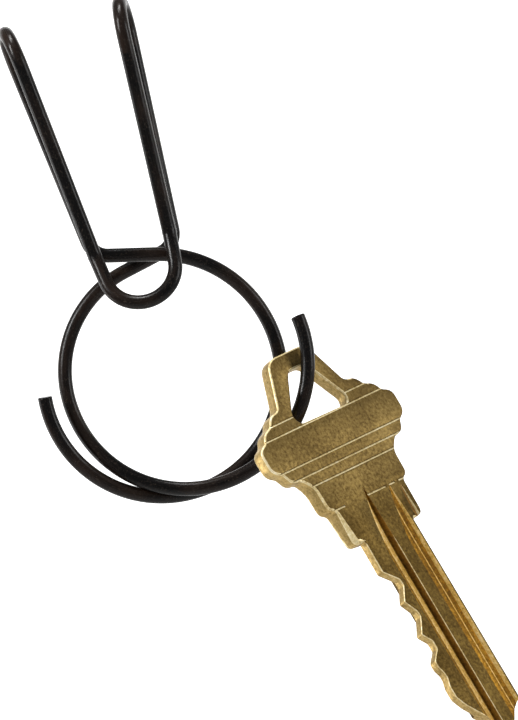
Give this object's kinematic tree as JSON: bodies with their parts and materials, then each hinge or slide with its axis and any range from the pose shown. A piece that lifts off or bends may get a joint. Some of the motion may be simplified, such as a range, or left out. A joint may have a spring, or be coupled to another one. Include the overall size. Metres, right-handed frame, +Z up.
{
  "type": "belt clip key ring",
  "caption": "Belt-clip key ring bent from one black spring wire, with a sprung tongue, two crossing ring turns with free ends, and a brass house key on it.",
  "frame": {"origin": "level with the belt's top edge under the hairpins, midway between the two rear legs", "axes": "+Z up along the clip, -Y to the front, away from the wearer, +X to the right seen from the front"},
  "size_m": [0.0482, 0.0166, 0.1054],
  "materials": {
    "wire": "semi-gloss black coating on spring wire",
    "brass": "handled, dulled brass with bright edges"
  },
  "bodies": {
    "frame": {"hairpin_rear_left": "wire", "hairpin_rear_right": "wire", "rear_leg_left": "wire", "rear_leg_right": "wire", "knee_left": "wire", "knee_right": "wire", "crossbar_front": "wire", "crossbar_rear": "wire", "ring_front_turn": "wire", "ring_rear_turn": "wire"},
    "tongue": {"hairpin_front_left": "wire", "hairpin_front_right": "wire", "tongue_leg_left": "wire", "tongue_leg_right": "wire", "tongue_kink_left": "wire", "tongue_kink_right": "wire", "lip_leg_left": "wire", "lip_leg_right": "wire", "lip_bend": "wire"},
    "left_arm": {"ring_front_arm": "wire", "free_end_left": "wire"},
    "right_arm": {"ring_rear_arm": "wire", "free_end_right": "wire"},
    "key": {"house_key": "brass"}
  },
  "joints": [
    {"name": "tongue_flex", "type": "hinge", "parent": "frame", "child": "tongue", "pos_m": [0, -0.0043, 0.00186], "axis": [-1, 0, 0], "range_deg": [0, 12], "stiffness_Nm_per_rad": 4},
    {"name": "left_arm_flex", "type": "hinge", "parent": "frame", "child": "left_arm", "pos_m": [0.014, 0.00147, -0.047], "axis": [-0.0092, 0.0879, -0.9961], "range_deg": [0, 10], "stiffness_Nm_per_rad": 1},
    {"name": "right_arm_flex", "type": "hinge", "parent": "frame", "child": "right_arm", "pos_m": [-0.0139, 0.00146, -0.04655], "axis": [-0.01, -0.0949, -0.9954], "range_deg": [0, 10], "stiffness_Nm_per_rad": 1},
    {"name": "key_slide", "type": "hinge", "parent": "right_arm", "child": "key", "pos_m": [0.00191, -0.0002, -0.04655], "axis": [-0.1041, -0.99, 0.0955], "range_deg": [-40, 10]}
  ]
}
